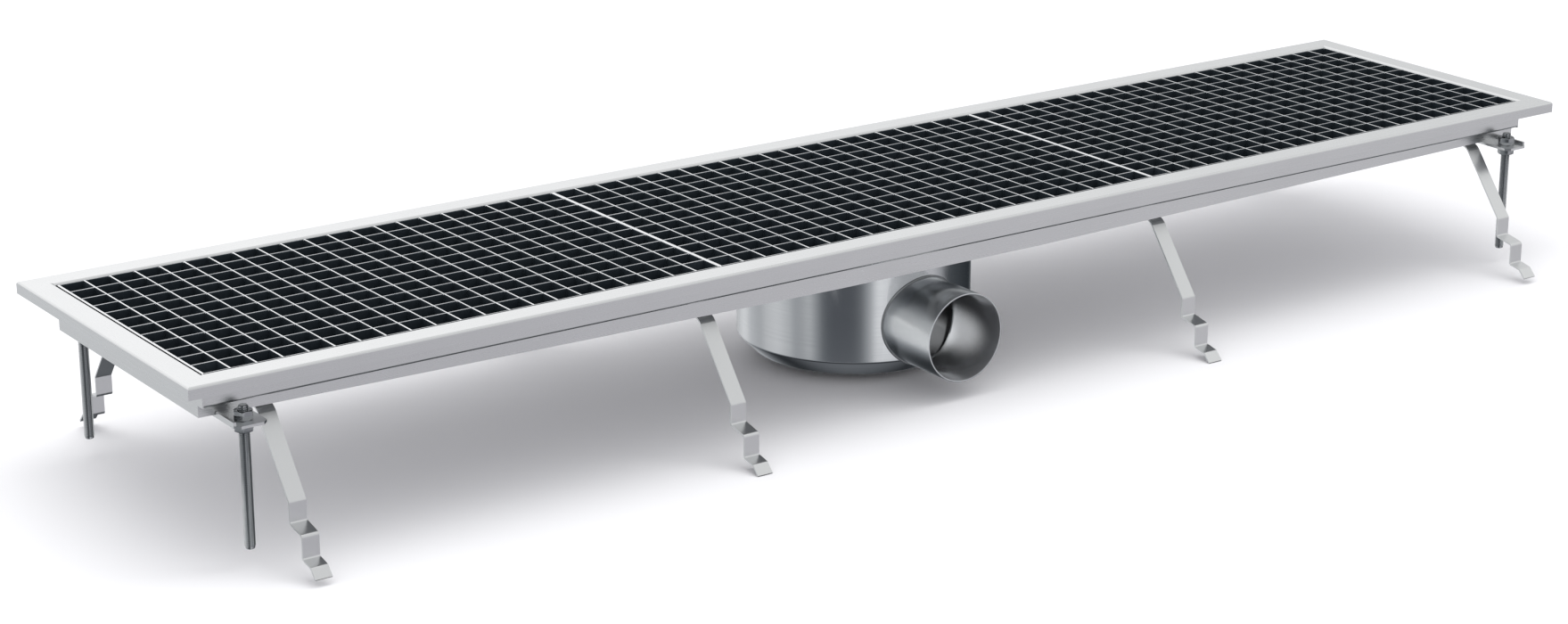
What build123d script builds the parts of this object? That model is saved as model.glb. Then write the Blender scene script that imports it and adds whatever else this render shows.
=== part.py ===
"""Stainless steel kitchen floor drain: a long box channel with three lift-out mesh gratings,
a central gully with a horizontal outlet, levelling rods and anchor straps.

Millimetres, +Z up, +X along the channel. The origin lies under the middle of the channel, at
the level of the lowest anchor tips. The horizontal outlet points along -Y.
"""
import math
import os

from build123d import *

# Channel, measured on the outside of the sheet and down from the top of the rim
RIM_LENGTH = 2000.0
RIM_WIDTH = 438.0
END_OVERHANG = 29.5
SIDE_OVERHANG = 31.5
SHEET = 1.5
RIM_BEND = 3.0
SKIRT_HEIGHT = 14.0
LEDGE_WIDTH = 11.5
TROUGH_END_DEPTH = 51.0
FALL = 0.0135
WELL_LENGTH = 300.0

# Gratings
PANELS = 3
COLUMNS = 21
ROWS = 6
BAR = 3.0
GRATING_HEIGHT = 35.0
RIM_PROUD = 1.2
PANEL_GAP = 0.6
END_PLAY = 2.5
SIDE_PLAY = 2.0

# Gully and its outlet
GULLY_DIAMETER = 290.0
GULLY_WALL = 2.0
GULLY_DEPTH = 205.0
GULLY_BEVEL = 20.0
SPIGOT_DIAMETER = 110.0
SPIGOT_WALL = 2.0
SPIGOT_AXIS_DEPTH = 138.0
SPIGOT_LENGTH = 68.0
COLLAR_LENGTH = 12.0
COLLAR_FLARE = 1.5

# Neck, foul air trap and strainer
NECK_DIAMETER = 230.0
NECK_DEPTH = 16.0
NECK_SEAT_WIDTH = 20.0
SEAL_THICKNESS = 3.0
TRAP_PLAY = 1.0
TRAP_SHEET = 1.5
DIP_TUBE_DIAMETER = 130.0
DIP_TUBE_LENGTH = 88.0
CUP_DIAMETER = 186.0
CUP_HEIGHT = 70.0
CUP_CLEARANCE = 20.0
HANGER_WIDTH = 16.0
HANGERS = 3
BASKET_RIM_DIAMETER = 150.0
BASKET_DIAMETER = 118.0
BASKET_HEIGHT = 44.0
BASKET_SLOTS = 12
BASKET_SLOT_WIDTH = 6.0
HANDLE_WIRE = 4.0
HANDLE_WIDTH = 70.0
HANDLE_HEIGHT = 22.0

# Levelling feet
ROD_DIAMETER = 12.0
ROD_LENGTH = 160.0
ROD_END_INSET = 38.2
ROD_SIDE_GAP = 15.5
ROD_THREAD_PLAY = 0.05
ROD_ABOVE_NUT = 5.5
ROD_CHAMFER = 1.0
NUT_ACROSS_FLATS = 19.0
NUT_HEIGHT = 10.0
BRACKET_WIDTH = 38.0
BRACKET_REACH = 21.5
BRACKET_THICKNESS = 3.0
BRACKET_CHAMFER = 6.0
BRACKET_LIP = 3.5
BRACKET_LAP = 36.0
BRACKET_HOLE_PLAY = 1.5

# Anchor straps, as the strap's centre line from the underside of the channel
STRAP_WIDTH = 20.0
STRAP = 2.0
STRAP_BEND = 3.0
STRAP_SHOULDER = 16.0
STRAP_LAP = 22.0
STRAP_END_INSET = 76.0
INNER_STRAP_PART = 0.3488
LEG_OUT = 65.5
LEG_DROP = 86.0
UPPER_RISER = 23.5
STEP_OUT = 26.0
STEP_DROP = 5.7
LOWER_RISER = 26.2
TOE_OUT = 17.5
TOE_DROP = 3.8
TIP_OUT = 9.5
TIP_DROP = 10.2

# Sizes that follow from those above
TROUGH_LENGTH = RIM_LENGTH - 2 * END_OVERHANG
TROUGH_WIDTH = RIM_WIDTH - 2 * SIDE_OVERHANG
LEDGE_TOP_DEPTH = RIM_PROUD + GRATING_HEIGHT
LOWER_WIDTH = TROUGH_WIDTH - 2 * LEDGE_WIDTH
WELL_DEPTH = TROUGH_END_DEPTH + FALL * (TROUGH_LENGTH - WELL_LENGTH) / 2
ROD_X = TROUGH_LENGTH / 2 - ROD_END_INSET
ROD_Y = TROUGH_WIDTH / 2 + ROD_SIDE_GAP
COLLAR_END = GULLY_DIAMETER / 2 + COLLAR_LENGTH
OUTER_STRAP_X = TROUGH_LENGTH / 2 - STRAP_END_INSET
INNER_STRAP_X = TROUGH_LENGTH / 2 * INNER_STRAP_PART


def underside_depth(x):
    """Depth of the channel's underside below the rim, at a place along its length."""
    return TROUGH_END_DEPTH + FALL * (TROUGH_LENGTH / 2 - max(abs(x), WELL_LENGTH / 2))


STRAP_DROP = LEG_DROP + UPPER_RISER + STEP_DROP + LOWER_RISER + TOE_DROP + TIP_DROP
TIP_CORNER = STRAP / 2 * TIP_OUT / math.hypot(TIP_OUT, TIP_DROP)
STRAP_TOP_DEPTH = underside_depth(INNER_STRAP_X + STRAP_WIDTH / 2)
RIM_TOP = STRAP_TOP_DEPTH + STRAP / 2 + STRAP_DROP + TIP_CORNER


def down(depth):
    """Height of a level given as a depth below the top of the rim."""
    return RIM_TOP - depth


def box(x0, x1, y0, y1, z0, z1):
    """Box between two corners."""
    return Pos((x0 + x1) / 2, (y0 + y1) / 2, (z0 + z1) / 2) * Box(x1 - x0, y1 - y0, z1 - z0)


def cylinder(diameter, z0, z1):
    """Upright cylinder on the gully's axis between two levels."""
    return Pos(0, 0, (z0 + z1) / 2) * Cylinder(diameter / 2, z1 - z0)


def ring(outer, inner, z0, z1):
    """Upright ring on the gully's axis between two levels."""
    return cylinder(outer, z0, z1) - cylinder(inner, z0 - 1, z1 + 1)


def polygon_bar(points, plane, thickness):
    """Flat bar or plate: an outline in a plane, given its thickness to both sides."""
    face = make_face(Polyline(*points, close=True))
    return extrude(plane * face, thickness / 2, both=True)


def side_section():
    """Cross-section of one long side of the channel: skirt, rim, upper wall and ledge."""
    outer, wall = RIM_WIDTH / 2, TROUGH_WIDTH / 2
    ledge = LOWER_WIDTH / 2
    top, ledge_top = RIM_TOP, down(LEDGE_TOP_DEPTH)
    outline = Polyline(
        (outer, down(SKIRT_HEIGHT)), (outer, top), (wall - SHEET, top),
        (wall - SHEET, ledge_top), (ledge - SHEET, ledge_top), (ledge - SHEET, ledge_top - SHEET),
        (wall, ledge_top - SHEET), (wall, top - SHEET), (outer - SHEET, top - SHEET),
        (outer - SHEET, down(SKIRT_HEIGHT)), close=True)
    face = make_face(outline)
    rounded = [v for v in face.vertices() if v.Y > top - 0.1]
    rounded += [v for v in face.vertices() if v.X > wall - 0.1 and abs(v.Y - ledge_top) < 2 * SHEET]
    face = fillet(rounded, RIM_BEND)
    hollow = [v for v in face.vertices()
              if abs(v.X - wall + SHEET) < 0.1 and abs(v.Y - ledge_top) < 0.1]
    return fillet(hollow, RIM_BEND - SHEET)


def end_region(depth):
    """Everything over the end of the channel, bounded by the mitres of the rim's corners."""
    inner_x, outer_x, outer_y = TROUGH_LENGTH / 2 - SHEET, RIM_LENGTH / 2, RIM_WIDTH / 2
    inner_y = outer_y - (outer_x - inner_x)
    outline = Polyline((inner_x, inner_y), (outer_x, outer_y), (outer_x, -outer_y),
                       (inner_x, -inner_y), close=True)
    return extrude(Pos(0, 0, RIM_TOP) * make_face(outline), -depth)


def channel_side(side):
    """One long side of the channel, mitred at both ends of the rim."""
    bar = extrude(Plane.YZ * side_section(), RIM_LENGTH / 2, both=True)
    end = end_region(LEDGE_TOP_DEPTH + 10)
    bar = bar - end - mirror(end, about=Plane.YZ)
    return bar if side > 0 else mirror(bar, about=Plane.XZ)


def bottom_line():
    """Outside of the falling bottom, from one end plate to the other."""
    half, well = TROUGH_LENGTH / 2 - SHEET, WELL_LENGTH / 2
    return [(-half, down(underside_depth(half))), (-well, down(WELL_DEPTH)),
            (well, down(WELL_DEPTH)), (half, down(underside_depth(half)))]


def trough_envelope():
    """The lower trough as a full block, which also trims what is welded under it."""
    half, top = TROUGH_LENGTH / 2 - SHEET, down(LEDGE_TOP_DEPTH)
    return polygon_bar([(-half, top), *bottom_line(), (half, top)], Plane.XZ, LOWER_WIDTH)


def lower_trough():
    """Lower walls and the bottom, which falls from both ends to the well in the middle."""
    half, top = TROUGH_LENGTH / 2 - SHEET, down(LEDGE_TOP_DEPTH)
    outside = trough_envelope()
    raised = [(x, z + SHEET) for x, z in bottom_line()]
    inside = polygon_bar([(-half, top + 1), *raised, (half, top + 1)], Plane.XZ,
                         LOWER_WIDTH - 2 * SHEET)
    opening = cylinder(NECK_DIAMETER, down(WELL_DEPTH) - 1, down(WELL_DEPTH) + SHEET + 1)
    return outside - inside - opening


def channel_trough():
    """The folded trough: both long sides with their rims, the ledges and the falling bottom."""
    return channel_side(1) + channel_side(-1) + lower_trough()


def end_plate(side):
    """Flat end wall with its stepped outline, and the mitred rim and skirt over it."""
    outer_x, outer_y = RIM_LENGTH / 2, RIM_WIDTH / 2
    wall_x, upper, lower = TROUGH_LENGTH / 2, TROUGH_WIDTH / 2, LOWER_WIDTH / 2
    ledge, bottom = down(LEDGE_TOP_DEPTH) - SHEET, down(TROUGH_END_DEPTH)
    top = RIM_TOP - SHEET
    wall = polygon_bar([(-upper, top), (-upper, ledge), (-lower, ledge), (-lower, bottom),
                        (lower, bottom), (lower, ledge), (upper, ledge), (upper, top)],
                       Plane.YZ.offset(wall_x - SHEET / 2), SHEET)
    rim = box(wall_x - SHEET, outer_x, -outer_y, outer_y, top, RIM_TOP)
    rim += box(outer_x - SHEET, outer_x, -outer_y, outer_y, down(SKIRT_HEIGHT), top)
    rim += box(wall_x - SHEET, wall_x, -outer_y, outer_y, down(2 * RIM_BEND), top)
    plate = wall + rim
    bends = [e for e in plate.edges().filter_by(Axis.Y) if e.center().Z > RIM_TOP - 0.1]
    plate = fillet(bends, RIM_BEND) & end_region(TROUGH_END_DEPTH + 10)
    return plate if side > 0 else mirror(plate, about=Plane.YZ)


def grating(index):
    """One grating: a welded mesh of flat bars on edge in a frame, all as deep as the frame."""
    opening = TROUGH_LENGTH - 2 * SHEET - 2 * END_PLAY
    length = (opening - (PANELS - 1) * PANEL_GAP) / PANELS
    width = TROUGH_WIDTH - 2 * SHEET - 2 * SIDE_PLAY
    middle = (index - (PANELS - 1) / 2) * (length + PANEL_GAP)
    pitch_x, pitch_y = (length - BAR) / COLUMNS, (width - BAR) / ROWS
    cells = []
    for column in range(COLUMNS):
        for row in range(ROWS):
            x = (column - (COLUMNS - 1) / 2) * pitch_x
            y = (row - (ROWS - 1) / 2) * pitch_y
            cell = Pos(x, y, 0) * Rectangle(pitch_x - BAR, pitch_y - BAR)
            cells.append(cell.wire())
    face = Face(Rectangle(length, width).wire(), cells)
    return Pos(middle, 0, down(LEDGE_TOP_DEPTH)) * extrude(face, GRATING_HEIGHT, dir=(0, 0, 1))


def pot_form(radius, floor, bevel):
    """Solid drum with a bevelled base, up to the underside of the channel."""
    top = down(WELL_DEPTH)
    profile = Polyline((0, floor), (radius - bevel, floor), (radius, floor + bevel),
                       (radius, top), (0, top), close=True)
    return revolve(Plane.XZ * make_face(profile), Axis.Z)


def gully_pot():
    """The pot under the channel: a bevelled, flat base and a flared collar for the outlet."""
    radius, base = GULLY_DIAMETER / 2, down(GULLY_DEPTH)
    inner_bevel = GULLY_BEVEL - GULLY_WALL * (2 - math.sqrt(2))
    outside = pot_form(radius, base, GULLY_BEVEL) + outlet_collar()
    inside = pot_form(radius - GULLY_WALL, base + GULLY_WALL, inner_bevel)
    bore = outlet_tube(SPIGOT_DIAMETER - 2 * SPIGOT_WALL, 0, COLLAR_END + 1)
    return outside - inside - bore


def outlet_collar():
    """Solid cone that widens from the spigot's end towards the pot, as a drawn collar does."""
    near = (GULLY_DIAMETER - SPIGOT_DIAMETER) / 2
    length = COLLAR_END - near
    wide = SPIGOT_DIAMETER / 2 + COLLAR_FLARE * length / COLLAR_LENGTH
    place = Pos(0, -(near + COLLAR_END) / 2, down(SPIGOT_AXIS_DEPTH)) * Rot(90, 0, 0)
    return place * Cone(wide, SPIGOT_DIAMETER / 2, length)


def outlet_tube(diameter, near, far):
    """Solid round bar on the outlet's axis, between two distances from the gully's axis."""
    place = Pos(0, -(near + far) / 2, down(SPIGOT_AXIS_DEPTH)) * Rot(90, 0, 0)
    return place * Cylinder(diameter / 2, far - near)


def outlet_spigot():
    """Horizontal outlet tube, butted to the pot's collar."""
    end = COLLAR_END + SPIGOT_LENGTH
    bore = outlet_tube(SPIGOT_DIAMETER - 2 * SPIGOT_WALL, COLLAR_END - 1, end + 1)
    return outlet_tube(SPIGOT_DIAMETER, COLLAR_END, end) - bore


def neck_ring():
    """Ring let into the channel's bottom, with a seat for the trap and its seal."""
    top = down(WELL_DEPTH) + SHEET
    wall = ring(NECK_DIAMETER, NECK_DIAMETER - 2 * SHEET, top - NECK_DEPTH, top)
    seat = ring(NECK_DIAMETER, NECK_DIAMETER - 2 * NECK_SEAT_WIDTH, top - NECK_DEPTH,
                top - NECK_DEPTH + SHEET)
    return wall + seat


def seat_level():
    """Top of the seat in the neck ring."""
    return down(WELL_DEPTH) + 2 * SHEET - NECK_DEPTH


def trap_diameter():
    """Outer diameter of what drops into the neck ring."""
    return NECK_DIAMETER - 2 * SHEET - 2 * TRAP_PLAY


def trap_seal():
    """Flat rubber ring between the neck's seat and the trap's flange."""
    level = seat_level()
    return ring(trap_diameter(), NECK_DIAMETER - 2 * NECK_SEAT_WIDTH, level,
                level + SEAL_THICKNESS)


def dip_tube():
    """Upper half of the foul air trap: a flange on the seal and a tube that dips into the cup."""
    top = seat_level() + SEAL_THICKNESS + TRAP_SHEET
    flange = ring(trap_diameter(), DIP_TUBE_DIAMETER - 2 * TRAP_SHEET, top - TRAP_SHEET, top)
    tube = ring(DIP_TUBE_DIAMETER, DIP_TUBE_DIAMETER - 2 * TRAP_SHEET, top - DIP_TUBE_LENGTH,
                top)
    return flange + tube


def trap_cup():
    """Lower half of the trap: a cup that holds the water seal, hung on straps from the flange."""
    hang = seat_level() + SEAL_THICKNESS
    floor = hang + TRAP_SHEET - DIP_TUBE_LENGTH - CUP_CLEARANCE
    rim = floor + CUP_HEIGHT
    cup = cylinder(CUP_DIAMETER, floor - TRAP_SHEET, rim)
    cup -= cylinder(CUP_DIAMETER - 2 * TRAP_SHEET, floor, rim + 1)
    middle = (CUP_DIAMETER - TRAP_SHEET) / 2
    for n in range(HANGERS):
        strap = box(middle - TRAP_SHEET / 2, middle + TRAP_SHEET / 2, -HANGER_WIDTH / 2,
                    HANGER_WIDTH / 2, rim - 8, hang)
        cup += Rot(0, 0, 90 + n * 360 / HANGERS) * strap
    return cup


def basket_level():
    """Top of the trap's flange, on which the basket's rim rests."""
    return seat_level() + SEAL_THICKNESS + TRAP_SHEET


def strainer_basket():
    """Round strainer basket that hangs in the dip tube by its rim, with slots in its floor."""
    level = basket_level()
    floor = level - BASKET_HEIGHT
    rim = ring(BASKET_RIM_DIAMETER, BASKET_DIAMETER - 2 * TRAP_SHEET, level,
               level + TRAP_SHEET)
    wall = ring(BASKET_DIAMETER, BASKET_DIAMETER - 2 * TRAP_SHEET, floor, level + TRAP_SHEET)
    basket = rim + wall + cylinder(BASKET_DIAMETER, floor, floor + TRAP_SHEET)
    inner, outer = BASKET_DIAMETER * 0.12, BASKET_DIAMETER * 0.4
    for n in range(BASKET_SLOTS):
        slot = box(inner, outer, -BASKET_SLOT_WIDTH / 2, BASKET_SLOT_WIDTH / 2, floor - 1,
                   floor + TRAP_SHEET + 1)
        basket -= Rot(0, 0, n * 360 / BASKET_SLOTS) * slot
    return basket


def basket_handle():
    """Wire bail welded across the basket's rim."""
    level = basket_level() + TRAP_SHEET
    radius = (BASKET_RIM_DIAMETER + BASKET_DIAMETER) / 4
    side = radius - HANDLE_WIRE / 2
    line = FilletPolyline((-side, level), (-HANDLE_WIDTH / 2, level + HANDLE_HEIGHT),
                          (HANDLE_WIDTH / 2, level + HANDLE_HEIGHT), (side, level),
                          radius=3 * HANDLE_WIRE)
    path = Plane.XZ * line
    section = Plane(origin=path @ 0, z_dir=path % 0) * Circle(HANDLE_WIRE / 2)
    wire = sweep(section, path=path)
    return wire - cylinder(BASKET_RIM_DIAMETER + 20, level - 20, level)


def bracket_top():
    """Top of the brackets, where they meet the channel's underside at their outer edge."""
    return down(underside_depth(ROD_X + BRACKET_WIDTH / 2))


def bracket(sx, sy):
    """Plate welded under the channel's corner, with a turned-up outer lip and a rod hole."""
    top = bracket_top()
    front = ROD_Y + BRACKET_REACH
    back = LOWER_WIDTH / 2 - BRACKET_LAP
    half, cut = BRACKET_WIDTH / 2, BRACKET_CHAMFER
    outline = [(ROD_X - half, back), (ROD_X - half, front - cut), (ROD_X - half + cut, front),
               (ROD_X + half - cut, front), (ROD_X + half, front - cut), (ROD_X + half, back)]
    plate = extrude(Pos(0, 0, top - BRACKET_THICKNESS)
                    * make_face(Polyline(*outline, close=True)), BRACKET_THICKNESS)
    plate += box(ROD_X + half - BRACKET_THICKNESS, ROD_X + half, LOWER_WIDTH / 2 + 1,
                 front - cut, top - BRACKET_THICKNESS, top + BRACKET_LIP)
    plate -= Pos(ROD_X, ROD_Y, top) * Cylinder(ROD_DIAMETER / 2 + BRACKET_HOLE_PLAY, 20)
    return turned(plate - trough_envelope(), sx, sy)


def turned(piece, sx, sy):
    """A corner piece modelled at +X and +Y, mirrored to the corner that is asked for."""
    if sx < 0:
        piece = mirror(piece, about=Plane.YZ)
    if sy < 0:
        piece = mirror(piece, about=Plane.XZ)
    return piece


def levelling_rod(sx, sy):
    """Threaded levelling rod, plain here, with chamfered ends."""
    top = bracket_top() + NUT_HEIGHT + ROD_ABOVE_NUT
    rod = chamfer(Cylinder(ROD_DIAMETER / 2, ROD_LENGTH).edges(), ROD_CHAMFER)
    return Pos(sx * ROD_X, sy * ROD_Y, top - ROD_LENGTH / 2) * rod


def nut(level):
    """Hexagon nut of a levelling rod, standing on a level."""
    flats = RegularPolygon(NUT_ACROSS_FLATS / 2, 6, major_radius=False)
    body = extrude(flats, NUT_HEIGHT) - Pos(0, 0, NUT_HEIGHT / 2) * Cylinder(
        ROD_DIAMETER / 2 + ROD_THREAD_PLAY, NUT_HEIGHT + 2)
    return Pos(0, 0, level) * body


def nuts(level):
    """The four nuts that stand on one level, one on each rod."""
    return [Pos(sx * ROD_X, sy * ROD_Y, 0) * nut(level) for sx in (-1, 1) for sy in (-1, 1)]


def anchor(x, side):
    """Folded anchor strap: a tab under the channel, a leg down and outwards, and a stepped foot."""
    y, z = LOWER_WIDTH / 2, down(underside_depth(abs(x) + STRAP_WIDTH / 2)) - STRAP / 2
    points = [(y - STRAP_LAP, z), (y, z)]
    moves = [(LEG_OUT, -LEG_DROP), (0, -UPPER_RISER), (STEP_OUT, -STEP_DROP),
             (0, -LOWER_RISER), (TOE_OUT, -TOE_DROP), (TIP_OUT, -TIP_DROP)]
    for out, drop in moves:
        last = points[-1]
        points.append((last[0] + out, last[1] + drop))
    bends = [STRAP_SHOULDER] + [STRAP_BEND] * (len(moves) - 1)
    line = FilletPolyline(*points, radius=bends)
    section = trace(line, STRAP)
    strap = extrude(Plane.YZ * section, STRAP_WIDTH / 2, both=True)
    strap = Pos(x, 0, 0) * strap - trough_envelope()
    return strap if side > 0 else mirror(strap, about=Plane.XZ)


def write(name, pieces):
    """Writes one sub-part, made of one solid or of several, to its own file."""
    shape = Compound(children=list(pieces)) if isinstance(pieces, list) else pieces
    export_step(shape, f"parts/{name}.step")


def main():
    """Builds every sub-part and writes it."""
    os.makedirs("parts", exist_ok=True)
    write("channel_trough", channel_trough())
    write("end_plate_left", end_plate(-1))
    write("end_plate_right", end_plate(1))
    for index, name in enumerate(("left", "centre", "right")):
        write(f"grating_{name}", grating(index))
    write("gully_pot", gully_pot())
    write("outlet_spigot", outlet_spigot())
    write("neck_ring", neck_ring())
    write("trap_seal", trap_seal())
    write("dip_tube", dip_tube())
    write("trap_cup", trap_cup())
    write("strainer_basket", strainer_basket())
    write("basket_handle", basket_handle())
    write("upper_nuts", nuts(bracket_top()))
    write("lower_nuts", nuts(bracket_top() - BRACKET_THICKNESS - NUT_HEIGHT))
    corners = {"front_left": (-1, -1), "front_right": (1, -1), "rear_left": (-1, 1),
               "rear_right": (1, 1)}
    for name, (sx, sy) in corners.items():
        write(f"bracket_{name}", bracket(sx, sy))
        write(f"levelling_rod_{name}", levelling_rod(sx, sy))
    places = (-OUTER_STRAP_X, -INNER_STRAP_X, INNER_STRAP_X, OUTER_STRAP_X)
    for number, x in enumerate(places, start=1):
        write(f"anchor_front_{number}", anchor(x, -1))
        write(f"anchor_rear_{number}", anchor(x, 1))


main()
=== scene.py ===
"""Stainless steel kitchen floor drain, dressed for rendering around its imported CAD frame.

Lengths are metres and +Z is up, as in the frame. The channel runs along X and its outlet
points along -Y.
"""

import logging
import math
from collections.abc import Callable, Iterator
from contextlib import contextmanager
from dataclasses import dataclass
from enum import Enum

import bmesh
import bpy
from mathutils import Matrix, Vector


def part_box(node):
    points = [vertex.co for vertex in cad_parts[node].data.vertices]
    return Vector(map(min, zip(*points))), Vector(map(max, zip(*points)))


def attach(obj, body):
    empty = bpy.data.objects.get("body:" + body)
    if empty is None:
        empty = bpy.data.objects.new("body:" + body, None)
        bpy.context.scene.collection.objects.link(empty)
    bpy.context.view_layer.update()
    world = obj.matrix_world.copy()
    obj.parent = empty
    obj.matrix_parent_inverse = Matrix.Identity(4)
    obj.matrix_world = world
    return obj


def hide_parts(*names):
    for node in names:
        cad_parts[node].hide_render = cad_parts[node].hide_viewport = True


LOG = logging.getLogger("floor_drain")
MM = 0.001
BODY = "drain"
CORNERS = ("front_left", "front_right", "rear_left", "rear_right")
FACING = 0.9  # cosine above which a face counts as facing a direction
LEANING = 0.5  # cosine above which it at least leans that way
OVERSHOOT = 10 * MM  # how far cutting tools reach past what they cut
NOISE_SPAN = (0.3, 0.7)  # most of a noise texture's values lie between these
WHITE = "#ffffff"

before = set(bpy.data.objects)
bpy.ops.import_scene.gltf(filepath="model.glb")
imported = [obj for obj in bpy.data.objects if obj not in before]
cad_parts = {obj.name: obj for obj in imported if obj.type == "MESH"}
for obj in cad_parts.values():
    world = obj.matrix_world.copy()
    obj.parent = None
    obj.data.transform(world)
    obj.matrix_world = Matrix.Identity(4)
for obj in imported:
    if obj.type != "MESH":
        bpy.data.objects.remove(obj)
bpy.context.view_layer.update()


class Grain(Enum):
    """The way that the fine lines of a ground sheet run."""

    ALONG_X = (1.0, 0.0, 0.0)
    ALONG_Y = (0.0, 1.0, 0.0)
    ALONG_Z = (0.0, 0.0, 1.0)


def linear(colour: str) -> tuple[float, float, float, float]:
    """Turns an sRGB colour into the linear one that shaders take.

    Args:
        colour: Six hex digits, with or without a leading hash.

    Returns:
        Linear red, green, blue and an alpha of 1.
    """
    parts = (int(colour.lstrip("#")[i:i + 2], 16) / 255 for i in (0, 2, 4))
    return (*(c / 12.92 if c <= 0.04045 else ((c + 0.055) / 1.055) ** 2.4 for c in parts), 1.0)


def add_node(tree: bpy.types.NodeTree, kind: str, values: dict | None = None,
             links: dict | None = None, **settings: object) -> bpy.types.Node:
    """Adds a node with its settings, socket values and incoming links.

    Args:
        tree: Node tree to add to.
        kind: Node type, such as ShaderNodeBump.
        values: Input socket name or number to its value.
        links: Input socket name or number to the output socket that feeds it.
        settings: Properties of the node itself.

    Returns:
        The new node.
    """
    node = tree.nodes.new(kind)
    for name, value in settings.items():
        setattr(node, name, value)
    for key, value in (values or {}).items():
        node.inputs[key].default_value = value
    for key, socket in (links or {}).items():
        tree.links.new(socket, node.inputs[key])
    return node


def new_material(name: str) -> tuple[bpy.types.Material, bpy.types.NodeTree]:
    """Makes an empty node material.

    Args:
        name: Name of the material.

    Returns:
        The material and its node tree.
    """
    material = bpy.data.materials.new(name)
    material.use_nodes = True
    material.node_tree.nodes.clear()
    return material, material.node_tree


def blend(tree: bpy.types.NodeTree, colours: tuple[str, str],
          share: bpy.types.NodeSocket) -> bpy.types.NodeSocket:
    """Adds a mix of two sRGB colours.

    Args:
        tree: Node tree to add to.
        colours: Colour where the share is 0 and where it is 1.
        share: Socket of the share.

    Returns:
        The colour socket.
    """
    first, second = (linear(colour) for colour in colours)
    return add_node(tree, "ShaderNodeMix", {6: first, 7: second}, {"Factor": share},
                    data_type="RGBA").outputs[2]


def gloss(tree: bpy.types.NodeTree, noise: bpy.types.NodeSocket,
          roughness: tuple[float, float]) -> bpy.types.NodeSocket:
    """Adds a roughness that follows a noise.

    Args:
        tree: Node tree to add to.
        noise: Socket of the noise.
        roughness: Roughness where the noise is low and where it is high.

    Returns:
        The roughness socket.
    """
    return add_node(tree, "ShaderNodeMapRange",
                    {"From Min": NOISE_SPAN[0], "From Max": NOISE_SPAN[1],
                     "To Min": roughness[0], "To Max": roughness[1]},
                    {"Value": noise}).outputs["Result"]


def relief(tree: bpy.types.NodeTree, noise: bpy.types.NodeSocket, strength: float,
           depth: float) -> bpy.types.NodeSocket:
    """Adds a fine relief that follows a noise.

    Args:
        tree: Node tree to add to.
        noise: Socket of the noise.
        strength: Share of the relief that shows.
        depth: Its depth in metres.

    Returns:
        The normal socket.
    """
    return add_node(tree, "ShaderNodeBump", {"Strength": strength, "Distance": depth},
                    {"Height": noise}).outputs["Normal"]


@dataclass(frozen=True)
class GroundSheet:
    """Cold-rolled stainless sheet, belt ground: fine parallel lines that widen its gloss."""

    name: str
    grain: Grain
    colour: str = "#e0e1e2"
    worn: str = "#dadbdc"
    roughness: tuple[float, float] = (0.265, 0.3)
    line_width: float = 0.6 * MM  # real grit lines are near 0.1 mm, too fine to show
    line_length: float = 60 * MM
    depth: float = 0.006 * MM
    bump: float = 0.06
    cloud: float = 71.43 * MM

    def build(self) -> bpy.types.Material:
        """Builds the material from lines drawn out along the grain."""
        material, tree = new_material(self.name)
        across, along = 1 / self.line_width, 1 / self.line_length
        scale = [along if way else across for way in self.grain.value]
        place = add_node(tree, "ShaderNodeTexCoord")
        lines = add_node(tree, "ShaderNodeMapping", {"Scale": scale},
                         {"Vector": place.outputs["Object"]})
        grit = add_node(tree, "ShaderNodeTexNoise", {"Scale": 1.0, "Detail": 3.0},
                        {"Vector": lines.outputs["Vector"]})
        cloud = add_node(tree, "ShaderNodeTexNoise", {"Scale": 1 / self.cloud, "Detail": 2.0},
                         {"Vector": place.outputs["Object"]})
        noise = grit.outputs["Fac"]
        tone = blend(tree, (self.colour, self.worn), cloud.outputs["Fac"])
        shader = add_node(tree, "ShaderNodeBsdfPrincipled", {"Metallic": 1.0},
                          {"Base Color": tone, "Roughness": gloss(tree, noise, self.roughness),
                           "Normal": relief(tree, noise, self.bump, self.depth)})
        add_node(tree, "ShaderNodeOutputMaterial", links={"Surface": shader.outputs["BSDF"]})
        return material


@dataclass(frozen=True)
class TurnedSteel:
    """Stainless steel spun or turned about an upright axis: fine rings that draw highlights out."""

    name: str
    colour: str = "#cdcfd1"
    dark: str = "#c5c7ca"
    roughness: tuple[float, float] = (0.15, 0.19)
    anisotropy: float = 0.4
    ring: float = 0.8 * MM  # real turning lines are near 0.2 mm, too fine to show
    sweep: float = 250 * MM
    depth: float = 0.01 * MM
    bump: float = 0.1

    def build(self) -> bpy.types.Material:
        """Builds the material from rings around its axis."""
        material, tree = new_material(self.name)
        place = add_node(tree, "ShaderNodeTexCoord")
        along, across = 1 / self.sweep, 1 / self.ring
        rings = add_node(tree, "ShaderNodeMapping", {"Scale": (along, along, across)},
                         {"Vector": place.outputs["Object"]})
        grit = add_node(tree, "ShaderNodeTexNoise", {"Scale": 1.0, "Detail": 3.0},
                        {"Vector": rings.outputs["Vector"]})
        noise = grit.outputs["Fac"]
        tone = blend(tree, (self.colour, self.dark), noise)
        tangent = add_node(tree, "ShaderNodeTangent", direction_type="RADIAL", axis="Z")
        shader = add_node(tree, "ShaderNodeBsdfPrincipled",
                          {"Metallic": 1.0, "Anisotropic": self.anisotropy},
                          {"Base Color": tone, "Roughness": gloss(tree, noise, self.roughness),
                           "Normal": relief(tree, noise, self.bump, self.depth),
                           "Tangent": tangent.outputs["Tangent"]})
        add_node(tree, "ShaderNodeOutputMaterial", links={"Surface": shader.outputs["BSDF"]})
        return material


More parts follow.
